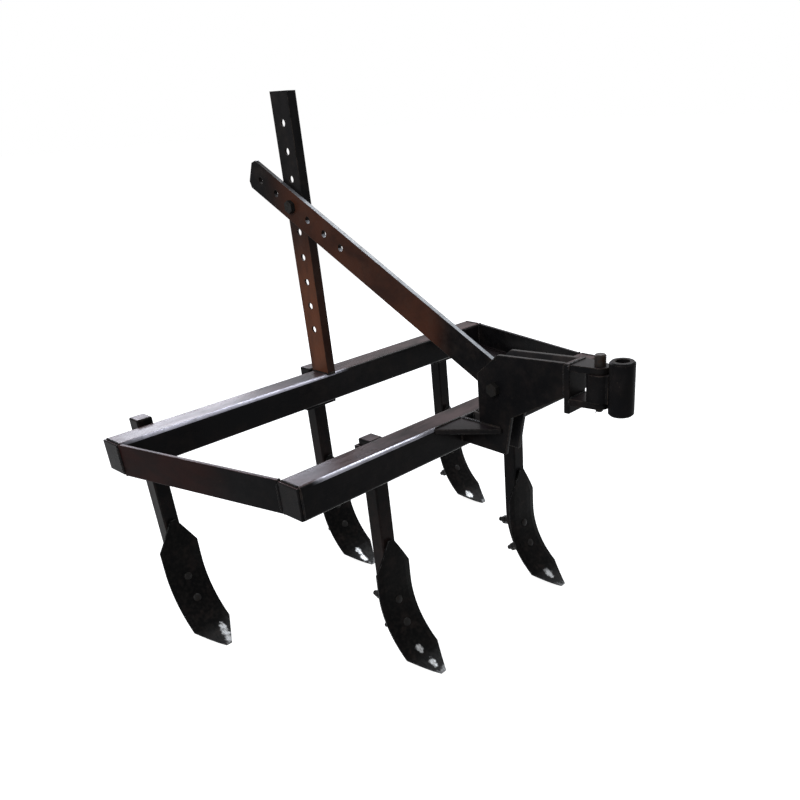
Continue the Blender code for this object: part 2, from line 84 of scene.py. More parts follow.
data = bpy.data.cameras.new("camera")
data.sensor_width = SENSOR
data.lens = LENS
data.shift_x, data.shift_y = SHIFT
data.clip_start = 0.05
camera = bpy.data.objects.new("camera", data)
bpy.context.scene.collection.objects.link(camera)
axes = Matrix((CAM_RIGHT, [-v for v in CAM_DOWN], [-v for v in CAM_FORWARD])).transposed()
camera.matrix_world = Matrix.Translation(CAM_AT) @ axes.to_4x4()
bpy.context.scene.camera = camera
bpy.context.scene.view_settings.view_transform = "Standard"


# node helpers
class Tree:
    """Short calls for building the nodes of a material or of the world."""

    def __init__(self, owner, out="ShaderNodeOutputMaterial"):
        self.owner = owner
        owner.use_nodes = True
        self.tree = owner.node_tree
        self.tree.nodes.clear()
        self.out = self.node(out)

    def node(self, kind, **values):
        n = self.tree.nodes.new(kind)
        for key, value in values.items():
            setattr(n, key, value)
        return n

    def link(self, a, b):
        self.tree.links.new(a, b)

    def value(self, socket, v):
        """Link a socket or set a plain value."""
        if isinstance(v, bpy.types.NodeSocket):
            self.link(v, socket)
        else:
            socket.default_value = v

    def coords(self):
        return self.node("ShaderNodeTexCoord").outputs["Object"]

    def noise(self, at, scale, detail=4.0, rough=0.55, warp=0.0, stretch=None):
        if stretch:
            m = self.node("ShaderNodeMapping")
            m.inputs["Scale"].default_value = stretch
            self.link(at, m.inputs["Vector"])
            at = m.outputs["Vector"]
        n = self.node("ShaderNodeTexNoise")
        n.inputs["Scale"].default_value = scale
        n.inputs["Detail"].default_value = detail
        n.inputs["Roughness"].default_value = rough
        n.inputs["Distortion"].default_value = warp
        self.link(at, n.inputs["Vector"])
        return n.outputs["Fac"]

    def ramp(self, v, low, high, to_low=0.0, to_high=1.0):
        n = self.node("ShaderNodeMapRange", interpolation_type="SMOOTHSTEP")
        n.inputs["From Min"].default_value = low
        n.inputs["From Max"].default_value = high
        n.inputs["To Min"].default_value = to_low
        n.inputs["To Max"].default_value = to_high
        self.value(n.inputs["Value"], v)
        return n.outputs["Result"]

    def math(self, how, a, b=0.0, clamp=False):
        n = self.node("ShaderNodeMath", operation=how, use_clamp=clamp)
        self.value(n.inputs[0], a)
        self.value(n.inputs[1], b)
        return n.outputs[0]

    def mix(self, fac, a, b):
        n = self.node("ShaderNodeMix", data_type="RGBA")
        self.value(n.inputs[0], fac)
        self.value(n.inputs[6], a)
        self.value(n.inputs[7], b)
        return n.outputs[2]

    def rounded(self, radius):
        """Normals turned over a little at the edges."""
        soft = self.node("ShaderNodeBevel", samples=8)
        soft.inputs["Radius"].default_value = radius
        return soft.outputs["Normal"]

    def edges(self, soft):
        """Over 0 on the sharp edges, 0 on the flats."""
        plain = self.node("ShaderNodeNewGeometry")
        dot = self.node("ShaderNodeVectorMath", operation="DOT_PRODUCT")
        self.link(soft, dot.inputs[0])
        self.link(plain.outputs["Normal"], dot.inputs[1])
        return self.math("SUBTRACT", 1.0, dot.outputs["Value"], True)

    def part(self, vector, axis):
        """One component of a vector, by its letter."""
        n = self.node("ShaderNodeSeparateXYZ")
        self.link(vector, n.inputs[0])
        return n.outputs[axis]

    def bump(self, height, strength, distance, before=None):
        n = self.node("ShaderNodeBump")
        n.inputs["Strength"].default_value = strength
        n.inputs["Distance"].default_value = distance
        self.link(height, n.inputs["Height"])
        if before is not None:
            self.link(before, n.inputs["Normal"])
        return n.outputs["Normal"]

    def surface(self, **sockets):
        b = self.node("ShaderNodeBsdfPrincipled")
        for key, v in sockets.items():
            self.value(b.inputs[key.replace("_", " ")], v)
        self.link(b.outputs[0], self.out.inputs["Surface"])
        return self.owner

    def seen(self):
        """1 for rays that show a backdrop: straight, mirrored or through something clear."""
        path = self.node("ShaderNodeLightPath")
        most = self.math("MAXIMUM", path.outputs["Is Camera Ray"], path.outputs["Is Glossy Ray"])
        return self.math("MAXIMUM", most, path.outputs["Is Transmission Ray"])


RUBBED = (0.060, 0.046, 0.038)      # primer and steel at rubbed edges
HAZE = (0.030, 0.021, 0.017)        # thin dust all over


def paint(name, base, under, tone=None, band=None, top=None, settled=0.7, worn=0.5,
          rough=0.24, gloss=0.03, grain=(1, 1, 1), dust=0.13, turn=0.0035, painted_highlight=None):
    """Enamel over brown primer: brushed film, thin places, rubbed edges, dust on what lies up.

    tone is a browner colour; band is its axis and where it grows and fades. The brown is laid
    mostly on the faces turned to ±X, painted light on those lit sides; faces turned along Y or up
    keep little of it.
    top is the colour of the dust that lies on level faces, settled is how much of it.
    The last argument gives a painted highlight: an axis, where it grows and fades, its colour and
    its share of metal. There the faces turned to the front and up, the rounded front top edge, are
    painted a pale sky colour.
    """
    t = Tree(bpy.data.materials.new(name))
    at = t.coords()
    normal = t.node("ShaderNodeNewGeometry").outputs["Normal"]
    broad = t.noise(at, 9.0, 5.0, 0.6, 0.3, grain)
    middle = t.noise(at, 26.0, 5.0, 0.62, 0.4, grain)
    fine = t.noise(at, 60.0, 4.0, 0.6)
    speck = t.noise(at, 260.0, 2.0, 0.5)
    streak = t.noise(at, 34.0, 3.0, 0.5, 0.2, tuple(v * v for v in grain))
    thin = t.ramp(t.math("ADD", t.math("MULTIPLY", broad, 0.7), t.math("MULTIPLY", fine, 0.3)),
                  0.46, 0.66)
    film = t.mix(t.math("MULTIPLY", thin, 0.8), (*base, 1), (*under, 1))
    if band:
        axis, grow, fade = band
        along = t.part(at, axis)
        amount = t.math("MULTIPLY", t.ramp(along, *grow), t.ramp(along, *fade))
        amount = t.math("MULTIPLY", amount, t.ramp(middle, 0.30, 0.62, 0.45, 1.0))
        # painted light: the browner tone is strongest on the faces turned to ±X, the lit sides,
        # and weak on faces turned along Y or up
        side = t.ramp(t.math("ABSOLUTE", t.part(normal, "X")), 0.3, 0.8, 0.22, 1.0)
        amount = t.math("MULTIPLY", amount, side)
        film = t.mix(amount, film, (*tone, 1))
    soft = t.rounded(turn)
    rub = t.ramp(t.math("MULTIPLY", t.edges(soft), t.ramp(fine, 0.36, 0.62, 0.25, 1.7)),
                 0.05, 0.30)
    chip = t.ramp(speck, 0.70, 0.76)
    bare = t.math("MULTIPLY", t.math("MAXIMUM", rub, t.math("MULTIPLY", chip, 0.4)), worn, True)
    colour = t.mix(bare, film, (*RUBBED, 1))
    haze = t.math("MULTIPLY", t.ramp(t.noise(at, 22.0, 6.0, 0.65), 0.45, 0.75), dust)
    colour = t.mix(haze, colour, (*HAZE, 1))
    if top:
        up = t.ramp(t.part(normal, "Z"), 0.70, 0.97)
        lies = t.math("MULTIPLY", up, t.ramp(middle, 0.32, 0.62, 0.30, 1.0))
        lies = t.math("MULTIPLY", lies, settled)
        colour = t.mix(lies, colour, (*top, 1))
    metal = t.math("MULTIPLY", bare, 0.25)
    if painted_highlight:
        # painted highlight: faces turned to the front and up are painted a pale sky colour, partly
        # made metal, as the sheen on the rounded edge
        axis, grow, fade, bright, shine = painted_highlight
        corner = t.math("MULTIPLY", t.ramp(t.part(normal, "Y"), 0.12, 0.30),
                        t.ramp(t.part(normal, "Z"), 0.12, 0.30))
        along = t.part(at, axis)
        stretch = t.math("MULTIPLY", t.ramp(along, *grow), t.ramp(along, *fade))
        corner = t.math("MULTIPLY", corner, stretch)
        corner = t.math("MULTIPLY", corner, t.ramp(fine, 0.30, 0.55, 0.55, 1.0))
        colour = t.mix(corner, colour, (*bright, 1))
        metal = t.math("MAXIMUM", metal, t.math("MULTIPLY", corner, shine))
    gloss_map = t.math("ADD", t.math("MULTIPLY", t.ramp(streak, 0.3, 0.7), 0.08),
                       t.math("ADD", t.math("MULTIPLY", haze, 0.5), rough))
    gloss_map = t.math("ADD", gloss_map, t.math("MULTIPLY", bare, 0.12))
    low = t.bump(broad, 0.22, 0.0012, soft)
    low = t.bump(streak, 0.16, 0.0006, low)
    low = t.bump(speck, 0.07, 0.0002, low)
    return t.surface(Base_Color=colour, Roughness=gloss_map, Normal=low,
                     Specular_IOR_Level=gloss, Metallic=metal)


ALONG_BLADE = (1.0, 0.55, 0.8)      # bare places are drawn out along the blade


def shovel_steel(name, spots):
    """Black varnish, scratched along the blade, ground bare by the soil in a few places.

    Each spot is a place on the blade's front and the radius of its bare steel.
    """
    t = Tree(bpy.data.materials.new(name))
    at = t.coords()
    broad = t.noise(at, 26.0, 5.0, 0.6, 0.4)
    fine = t.noise(at, 120.0, 3.0, 0.55)
    scratch = t.noise(at, 90.0, 2.0, 0.4, 0.0, (7.0, 1.0, 1.0))
    ragged = t.math("MULTIPLY", t.math("SUBTRACT", t.noise(at, 95.0, 5.0, 0.65), 0.5), 0.020)
    drawn = t.node("ShaderNodeVectorMath", operation="MULTIPLY")
    drawn.inputs[1].default_value = ALONG_BLADE
    t.link(at, drawn.inputs[0])
    bright = None
    for place, radius in spots:
        far = t.node("ShaderNodeVectorMath", operation="DISTANCE")
        t.link(drawn.outputs["Vector"], far.inputs[0])
        far.inputs[1].default_value = [a * b for a, b in zip(place, ALONG_BLADE)]
        spot = t.ramp(t.math("ADD", far.outputs["Value"], ragged), radius, radius * 0.45)
        bright = spot if bright is None else t.math("MAXIMUM", bright, spot)
    point = t.ramp(t.math("ADD", t.part(at, "Z"), ragged), 0.008, 0.002, 0.0, 0.40)
    scuffed = t.ramp(t.math("ADD", t.part(at, "Z"), ragged), 0.036, 0.014, 0.0, 0.03)
    point = t.math("MAXIMUM", point, scuffed)
    soft = t.rounded(0.002)
    rub = t.ramp(t.math("MULTIPLY", t.edges(soft), t.ramp(fine, 0.36, 0.64, 0.2, 1.6)), 0.06, 0.35)
    bright = t.math("MAXIMUM", bright, point)
    bright = t.math("MAXIMUM", bright, t.math("MULTIPLY", rub, 0.22), True)
    varnish = t.mix(t.ramp(fine, 0.4, 0.7), (0.0018, 0.0018, 0.0019, 1),
                    (0.0050, 0.0045, 0.0043, 1))
    mud = t.math("MULTIPLY", t.ramp(broad, 0.52, 0.70), 0.4)
    varnish = t.mix(mud, varnish, (0.015, 0.011, 0.010, 1))
    steel = t.mix(t.ramp(scratch, 0.35, 0.70), (0.33, 0.34, 0.35, 1), (0.15, 0.145, 0.145, 1))
    colour = t.mix(bright, varnish, steel)
    rough = t.math("ADD", 0.32, t.math("MULTIPLY", t.ramp(scratch, 0.3, 0.7), 0.14))
    low = t.bump(broad, 0.25, 0.0010)
    low = t.bump(scratch, 0.20, 0.0004, low)
    return t.surface(Base_Color=colour, Roughness=rough, Normal=low, Specular_IOR_Level=0.022,
                     Metallic=t.math("MULTIPLY", bright, 0.7))


def bolt_steel(name, base, rust, gloss, shine):
    """Dull plated steel with brown in its hollows."""
    t = Tree(bpy.data.materials.new(name))
    at = t.coords()
    broad = t.noise(at, 90.0, 5.0, 0.6)
    fine = t.noise(at, 500.0, 3.0, 0.5)
    colour = t.mix(t.ramp(broad, 0.45, 0.68), (*base, 1), (*rust, 1))
    rough = t.ramp(broad, 0.3, 0.7, 0.34, 0.62)
    return t.surface(Base_Color=colour, Roughness=rough, Normal=t.bump(fine, 0.15, 0.0003),
                     Specular_IOR_Level=gloss, Metallic=t.ramp(broad, 0.68, 0.45, 0.1, shine))


def weld_steel(name):
    """Painted weld bead, rippled and a little sooty."""
    t = Tree(bpy.data.materials.new(name))
    at = t.coords()
    fine = t.noise(at, 300.0, 4.0, 0.6)
    broad = t.noise(at, 60.0, 3.0, 0.5)
    colour = t.mix(t.ramp(broad, 0.4, 0.7), (0.004, 0.004, 0.0045, 1), (0.012, 0.009, 0.008, 1))
    return t.surface(Base_Color=colour, Roughness=t.ramp(fine, 0.3, 0.7, 0.30, 0.55),
                     Normal=t.bump(fine, 0.4, 0.0004), Specular_IOR_Level=0.05)


# colours: black enamel, its thin places, browner tones and dust; the browner tones lie mostly on
# the faces turned to ±X, painted light on those lit sides
BLACK = (0.0030, 0.0030, 0.0034)
SOOT = (0.0075, 0.0068, 0.0072)
BROWN = (0.038, 0.0140, 0.0085)
RED_BROWN = (0.078, 0.027, 0.0135)
DUST = (0.056, 0.036, 0.037)
DARK_DUST = (0.012, 0.009, 0.010)
# axis, grows between, fades between
MAST_BAND = ("Z", (0.925, 0.68), (0.40, 0.45))
STAY_BAND = ("Y", (-0.475, -0.34), (0.10, 0.02))
END_BAND = ("Y", (-0.50, -0.45), (-0.02, -0.15))
# painted highlights on the front top edges: axis, grows between, fades between, colour, share of
# metal
REAR_PAINTED_HIGHLIGHT = ("X", (-0.06, 0.02), (0.56, 0.45), (0.34, 0.34, 0.40), 0.5)
FRONT_PAINTED_HIGHLIGHT = ("X", (0.09, 0.15), (0.43, 0.40), (0.27, 0.27, 0.31), 0.5)
STAY_PAINTED_HIGHLIGHT = ("Y", (-0.46, -0.30), (0.33, 0.30), (0.150, 0.158, 0.175), 0.0)
looks = {
    "rear_bar": paint("rear_bar_enamel", BLACK, SOOT, top=DUST, settled=0.65, grain=(0.4, 1, 1),
                      turn=0.005, painted_highlight=REAR_PAINTED_HIGHLIGHT),
    "front_bar": paint("front_bar_enamel", BLACK, SOOT, top=DUST, settled=0.6, grain=(0.4, 1, 1),
                       turn=0.005, painted_highlight=FRONT_PAINTED_HIGHLIGHT),
    "cap": paint("cap_enamel", BLACK, SOOT, top=DUST, worn=0.25, gloss=0.022, dust=0.15,
                 turn=0.002),
    "end_right": paint("end_bar_enamel", BLACK, SOOT, (0.011, 0.0042, 0.0038), END_BAND,
                       DUST, 0.7, rough=0.34, gloss=0.020, grain=(1, 0.4, 1), dust=0.08,
                       turn=0.002),
    "end_left": paint("far_bar_enamel", BLACK, SOOT, top=DARK_DUST, grain=(1, 0.4, 1),
                      turn=0.002),
    "clamp": paint("clamp_enamel", BLACK, SOOT, top=DUST, worn=0.6, rough=0.32),
    "shank": paint("shank_enamel", BLACK, (0.012, 0.0075, 0.0070), top=DUST, worn=0.6,
                   rough=0.30, grain=(1, 1, 0.4)),
    "mast": paint("mast_enamel", BLACK, SOOT, RED_BROWN, MAST_BAND, DARK_DUST, 0.3, 0.45,
                  grain=(1, 1, 0.3), dust=0.25),
    "stay": paint("stay_enamel", BLACK, SOOT, BROWN, STAY_BAND, worn=0.45, rough=0.20,
                  gloss=0.022, grain=(1, 0.3, 0.5), dust=0.25, turn=0.002,
                  painted_highlight=STAY_PAINTED_HIGHLIGHT),
    "far_plate": paint("far_plate_enamel", (0.012, 0.012, 0.013), (0.028, 0.024, 0.023),
                       top=DARK_DUST, worn=0.5, rough=0.28),
    "hitch": paint("hitch_enamel", BLACK, (0.010, 0.0080, 0.0078), top=DARK_DUST, worn=0.5,
                   rough=0.28),
    "swivel": paint("swivel_enamel", BLACK, SOOT, top=DARK_DUST, worn=0.6, rough=0.32,
                    gloss=0.022, dust=0.12),
    "bolt": bolt_steel("bolt_steel", (0.014, 0.012, 0.011), (0.016, 0.009, 0.006), 0.08, 0.3),
    "black_bolt": bolt_steel("black_bolt_steel", (0.0095, 0.0092, 0.0090),
                             (0.0075, 0.0060, 0.0052), 0.06, 0.2),
    "weld": weld_steel("weld_bead"),
}
# bare spots of each tine's shovel: to the right of its middle, degrees round its curve, radius
SPOTS = {
    "rear_right": [(-0.0156, 57.0, 0.0085), (-0.0121, 62.7, 0.0112), (-0.0078, 68.5, 0.0115)],
    "rear_middle": [(0.0077, 55.4, 0.0090), (0.0110, 62.6, 0.0105)],
    "rear_left": [(0.0182, 57.2, 0.0110)],
    "front_right": [(0.0072, 48.4, 0.0085), (0.0022, 62.4, 0.0095)],
    "front_left": [(0.0042, 57.8, 0.0115)],
}
for tine in TINES:
    spots = [(curve_centre(tine) + outward(turn) * CURVE_R + Vector((across, 0, 0)), radius)
             for across, turn, radius in SPOTS[tine]]
    looks["shovel_" + tine] = shovel_steel("shovel_steel_" + tine, spots)
# start of a node's name, its look; the first that fits holds
WEAR = [
    ("rear_cap", "cap"), ("front_cap", "cap"),
    ("end_bar_right", "end_right"), ("end_bar_left", "end_left"),
    ("pad_", "clamp"), ("strap_", "clamp"), ("hitch_nose", "clamp"), ("shank_", "shank"),
    ("mast", "mast"), ("stay_bar", "stay"), ("stay_", "black_bolt"),
    ("foot_sleeve", "black_bolt"), ("tongue_plate_left", "far_plate"), ("tongue", "hitch"),
    ("gusset", "hitch"), ("hitch_pin", "bolt"), ("hitch_barrel", "swivel"), ("swivel", "swivel"),
    ("hitch_", "hitch"),
]
for node_name, ob in nodes.items():
    if node_name in looks:
        look = node_name
    else:
        look = next(look for start, look in WEAR if node_name.startswith(start))
    ob.data.materials.clear()
    ob.data.materials.append(looks[look])

# small rounded edges on the steel, so that they catch the light
SHARP = math.radians(50)
ROUND = {"mast": 0.0012, "stay_bar": 0.0016, "tongue": 0.0012, "hitch_lug": 0.0015,
         "swivel": 0.0015, "hitch_barrel": 0.0015}


def soften(ob, width):
    """Round an object's sharp edges."""
    m = ob.modifiers.new("edge", "BEVEL")
    m.width = width
    m.segments = 2
    m.limit_method = "ANGLE"
    m.angle_limit = SHARP


for node_name, ob in nodes.items():
    for start, width in ROUND.items():
        if node_name.startswith(start):
            soften(ob, width)

# added pieces
SMOOTH_UNDER = math.radians(40)
pieces = bpy.data.collections.new("small_pieces")
bpy.context.scene.collection.children.link(pieces)


def piece(name, bm, look, body, soft=False):
    """A finished bmesh as a piece that rides on a body."""
    bmesh.ops.recalc_face_normals(bm, faces=bm.faces)
    mesh = bpy.data.meshes.new(name)
    bm.to_mesh(mesh)
    bm.free()
    mesh.materials.append(looks[look])
    if soft:
        mesh.shade_smooth()
        mesh.set_sharp_from_angle(angle=SMOOTH_UNDER)
    ob = bpy.data.objects.new(name, mesh)
    pieces.objects.link(ob)
    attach(ob, body)
    return ob


def skin(bm, rings):
    """Faces from each ring of corners to the next, the first and the last ring capped."""
    for a, b in zip(rings, rings[1:]):
        for i in range(len(a)):
            k = (i + 1) % len(a)
            bm.faces.new((a[i], a[k], b[k], b[i]))
    bm.faces.new(rings[0])
    bm.faces.new(rings[-1])


def lathe(bm, profile, place, sides):
    """Turn (radius, height) pairs round Z, then place it. Open ends are capped."""
    rings = []
    for r, z in profile:
        ring = []
        for i in range(sides):
            a = 2 * math.pi * i / sides
            ring.append(bm.verts.new(place @ Vector((r * math.cos(a), r * math.sin(a), z))))
        rings.append(ring)
    skin(bm, rings)


def ring_about(bm, at, u, v, radius, sides=8):
    """Ring of corners about a point, in the plane of u and v."""
    turns = [2 * math.pi * j / sides for j in range(sides)]
    return [bm.verts.new(at + (u * math.cos(a) + v * math.sin(a)) * radius) for a in turns]


def facing(at, way):
    """Matrix that stands local +Z along way, at a point."""
    return Matrix.Translation(at) @ Vector(way).to_track_quat("Z", "Y").to_matrix().to_4x4()


def hex_head(bm, at, way, across, tall):
    """Hexagon head or nut standing on a face, its top edge chamfered."""
    r = across / 2 / math.cos(math.pi / 6)
    lathe(bm, [(r, 0), (r, tall * 0.82), (r * 0.90, tall)], facing(at, way), 6)


def washer(bm, at, way, radius, thick):
    """Plain washer with a chamfered edge."""
    profile = [(radius, 0), (radius, thick * 0.7), (radius - thick * 0.3, thick)]
    lathe(bm, profile, facing(at, way), 24)


PITCH = 0.0016           # of a thread
ROOT = 0.89              # thread's root, share of its radius
END_FLAT = 0.001         # no thread this near its end
END_TURN = 0.0006        # height of its rounded end


def stud(bm, at, way, radius, length):
    """Threaded bolt end, its thread cut as real rings."""
    profile = [(radius, 0.0)]
    z = 0.0
    while z + PITCH < length - END_FLAT:
        profile += [(radius, z + PITCH * 0.15), (radius * ROOT, z + PITCH * 0.5),
                    (radius, z + PITCH * 0.85)]
        z += PITCH
    profile += [(radius * 0.93, length - END_TURN), (radius * 0.80, length)]
    lathe(bm, profile, facing(at, way), 14)


SEAT = 0.0004            # a head stands this far off its face, a cap's bead lies this deep

# end bars: angle iron with its web outside and its flange low and inward, slanted between
# the cross bars
END_T = 0.009            # web and flange
FLANGE = 0.056           # flange's width
ROUND_ANGLE = 0.0016     # of its edges
NEAR_END = 0.002         # corners of the solid bar this near in Y are its end's
rear_low, rear_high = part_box("rear_bar")
front_low, front_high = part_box("front_bar")
top = rear_high.z
bottom = rear_low.z
end_lines = {}
for side_name, s in SIDES:
    ends = []
    for y in (rear_high.y + GAP, front_low.y - GAP):
        near = [abs(v.co.x) for v in nodes["end_bar_" + side_name].data.vertices
                if abs(v.co.y - y) < NEAR_END]
        ends.append((max(near), y))
    end_lines[side_name] = ends
    bm = bmesh.new()
    corners = []
    for outer, y in ends:
        web = outer - END_T
        section = [(outer, bottom), (outer - FLANGE, bottom), (outer - FLANGE, bottom + END_T),
                   (web, bottom + END_T), (web, top), (outer, top)]
        corners.append([bm.verts.new((s * x, y, z)) for x, z in section])
    skin(bm, corners)
    angle = piece("angle_end_bar_" + side_name, bm, "end_" + side_name, FRAME)
    soften(angle, ROUND_ANGLE)
    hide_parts("end_bar_" + side_name)

# clamp bolts: two through each flange of a strap
STRAP_T = 0.006
CLAMP_X = 0.0344         # from the tine's middle to a bolt
CLAMP_IN = 0.018         # from the strap's upper or lower edge
CLAMP_WASHER_R = 0.0100
CLAMP_WASHER_T = 0.0018
CLAMP_AF = 0.017         # nut across its flats
CLAMP_NUT = 0.0075
CLAMP_STUD = 0.0090      # thread starts this far out
CLAMP_STUD_R = 0.0050
CLAMP_STUD_LONG = 0.0060


def clamp_bolt(name, at, way):
    """Washer, nut and thread end on a strap's flange."""
    bm = bmesh.new()
    washer(bm, at, way, CLAMP_WASHER_R, CLAMP_WASHER_T)
    hex_head(bm, at + way * CLAMP_WASHER_T, way, CLAMP_AF, CLAMP_NUT)
    stud(bm, at + way * CLAMP_STUD, way, CLAMP_STUD_R, CLAMP_STUD_LONG)
    piece(name, bm, "black_bolt", FRAME, True)


for tine in TINES:
    low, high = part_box("strap_" + tine)
    middle = (low.x + high.x) / 2
    face_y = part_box("pad_" + tine)[0].y - GAP - STRAP_T
    for side_letter, side in (("l", -1), ("r", 1)):
        for row, z in enumerate((low.z + CLAMP_IN, high.z - CLAMP_IN)):
            clamp_bolt("clamp_bolt_%s_%s%d" % (tine, side_letter, row + 1),
                       Vector((middle + side * CLAMP_X, face_y - SEAT, z)), BACKWARD)

# shovel bolts: domed head on the shovel's front, washer, two nuts and thread behind the shank
BOLT_TURNS = (10.0, 28.0)    # degrees round the curve
DOME = [(0.0095, 0.0), (0.0093, 0.0008), (0.0078, 0.0019), (0.0048, 0.0026),
        (0.0014, 0.0029)]    # radius, height
NUT_WASHER_R = 0.0125
NUT_WASHER_T = 0.0040
NUT_AF = 0.0190
NUTS = [(0.0040, 0.0115), (0.0158, 0.0105)]    # how far out, height
NUT_STUD = 0.0260        # thread starts this far out
NUT_STUD_R = 0.0060
NUT_STUD_LONG = 0.0120


def shovel_bolt(name, centre, out):
    """Dome on the shovel's front; washer, two nuts and thread end behind the shank."""
    bm = bmesh.new()
    lathe(bm, DOME, facing(centre + out * (CURVE_R - SEAT), -out), 20)
    back = centre + out * (CURVE_R + SHOVEL_T + SHANK_DEEP + SEAT)
    washer(bm, back, out, NUT_WASHER_R, NUT_WASHER_T)
    for away, tall in NUTS:
        hex_head(bm, back + out * away, out, NUT_AF, tall)
    stud(bm, back + out * NUT_STUD, out, NUT_STUD_R, NUT_STUD_LONG)
    piece(name, bm, "black_bolt", FRAME, True)


for tine in TINES:
    for row, turn in enumerate(BOLT_TURNS):
        shovel_bolt("shovel_bolt_%s_%d" % (tine, row + 1), curve_centre(tine), outward(turn))


def wire(bm, points, radius):
    """Round wire through a line of points in an upright plane along X."""
    points = [Vector(p) for p in points]
    across = Vector((0, 1, 0))
    rings = []
    for i, here in enumerate(points):
        way = (points[min(i + 1, len(points) - 1)] - points[max(i - 1, 0)]).normalized()
        rings.append(ring_about(bm, here, across, way.cross(across), radius))
    skin(bm, rings)


# split pin through the swivel pin's tail: an eye on one side, its two legs bent on the other
SPLIT_R = 0.0008          # half of a leg's thickness
SPLIT_EYE = 0.0024        # radius of its eye
SPLIT_EYE_STEPS = 8
SPLIT_OUT = 0.0022        # its eye stands this far off the tail
# off the tail, away from the middle
SPLIT_LEG = [(0.00088, 0.0), (0.0022, 0.0006), (0.0038, 0.0014), (0.0052, 0.0023)]
SPLIT_APART = 1.05        # legs from their middle, in SPLIT_R
TAIL_R = 0.0070
pin_low, pin_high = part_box("hitch_pin")
lug_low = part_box("hitch_lug_bottom")[0]
tail_x = (pin_low.x + pin_high.x) / 2
tail_y = (pin_low.y + pin_high.y) / 2
tail_z = (pin_low.z + lug_low.z) / 2
bm = bmesh.new()
for s in (1, -1):
    z = tail_z + s * SPLIT_R * SPLIT_APART
    eye = []
    for i in range(SPLIT_EYE_STEPS + 1):
        a = math.pi * i / SPLIT_EYE_STEPS
        eye.append((tail_x - TAIL_R - SPLIT_OUT - SPLIT_EYE - SPLIT_EYE * math.cos(a),
                    tail_y, tail_z + s * (SPLIT_EYE * math.sin(a) + SPLIT_R)))
    leg = [(tail_x + TAIL_R + away, tail_y, z + s * bend) for away, bend in SPLIT_LEG]
    wire(bm, eye + leg, SPLIT_R)
piece("split_pin", bm, "bolt", FRAME, True)


# weld beads, their sizes as shares of a bead's radius
BEAD_STEP = 0.42         # from ring to ring
BEAD_RIPPLE = 0.13       # height of its ripples
BEAD_TURN = 1.45         # radians of a ripple from ring to ring
BEAD_UNEVEN = 0.07
BEAD_DRIFT = 0.12        # how far it strays
BEAD_END = 0.35          # its ends start this thick
BEAD_GROW = 2.5          # rings over which they thicken


def bead(bm, path, radius, rng, side):
    """A rippled round bead along a line of points, half of it sunk in the corner it fills."""
    points = [Vector(p) for p in path]
    lengths = [(b - a).length for a, b in zip(points, points[1:])]
    total = sum(lengths)
    count = max(6, int(total / (radius * BEAD_STEP)))
    rings = []
    phase = rng.random() * 6.0
    for i in range(count + 1):
        go = total * i / count
        k = 0
        while k < len(lengths) - 1 and go > lengths[k]:
            go -= lengths[k]
            k += 1
        here = points[k] + (points[k + 1] - points[k]) * min(1.0, go / lengths[k])
        way = (points[k + 1] - points[k]).normalized()
        u = way.cross(side).normalized()
        v = way.cross(u).normalized()
        end = min(1.0, min(i, count - i) / BEAD_GROW + BEAD_END)
        wave = BEAD_RIPPLE * math.sin(i * BEAD_TURN + phase)
        ripple = 1.0 + wave + BEAD_UNEVEN * (rng.random() - 0.5)
        drift = (u * (rng.random() - 0.5) * radius * BEAD_DRIFT
                 + v * (rng.random() - 0.5) * radius * BEAD_DRIFT)
        rings.append(ring_about(bm, here + drift, u, v, radius * ripple * end))
    skin(bm, rings)


def weld(name, paths, radius):
    """One piece of several beads, its ripples drawn from its name."""
    rng = random.Random(sum(ord(c) * (i + 3) for i, c in enumerate(name)))
    bm = bmesh.new()
    for path in paths:
        side = UP
        way = (Vector(path[1]) - Vector(path[0])).normalized()
        if abs(way.z) > 0.9:
            side = Vector((1, 0, 0))
        bead(bm, path, radius, rng, side)
    piece(name, bm, "weld", FRAME, True)


# bead radii
END_WELD = 0.0032
CAP_WELD = 0.0022
MAST_WELD = 0.0030
TONGUE_WELD = 0.0030
LUG_WELD = 0.0026
# a bead stops this short of a corner
STOP = 0.006             # on a bar's face
PLATE_STOP = 0.004       # on a plate
FOOT_STOP = 0.003        # at a side plate's ends
EDGE_STOP = 0.002        # on the edge of a flange or lug
SHORT = 0.001            # where it meets another bead
SUNK = 0.0008            # a bead lies this deep in a level edge
PROUD = 0.0005           # and this far off the web's outer face
MAST_T = 0.005           # mast's wall
NOSE_LOW = 0.617         # where a side plate's front edge begins
for side_name, s in SIDES:
    for (outer, y), end_name in zip(end_lines[side_name], ("rear", "front")):
        web = outer - END_T
        toe = outer - FLANGE + EDGE_STOP
        weld("weld_%s_%s" % (end_name, side_name), [
            [(s * (web - SHORT), y, bottom + END_T), (s * (web - SHORT), y, top - PLATE_STOP)],
            [(s * (outer + PROUD), y, bottom + STOP), (s * (outer + PROUD), y, top - STOP)],
            [(s * (web + SHORT), y, top - SUNK), (s * (outer - SHORT), y, top - SUNK)],
            [(s * toe, y, bottom + SUNK), (s * (outer - SHORT), y, bottom + SUNK)],
            [(s * toe, y, bottom + END_T), (s * (web - SHORT), y, bottom + END_T)],
        ], END_WELD)
    for bar_name, low, high in (("rear", rear_low, rear_high), ("front", front_low, front_high)):
        x = s * high.x
        weld("weld_cap_%s_%s" % (bar_name, side_name), [
            [(x, low.y + STOP, top - SEAT), (x, high.y - STOP, top - SEAT)],
            [(x, low.y + STOP, bottom + SEAT), (x, high.y - STOP, bottom + SEAT)],
            [(x, low.y + SEAT, bottom + STOP), (x, low.y + SEAT, top - STOP)],
            [(x, high.y - SEAT, bottom + STOP), (x, high.y - SEAT, top - STOP)],
        ], CAP_WELD)

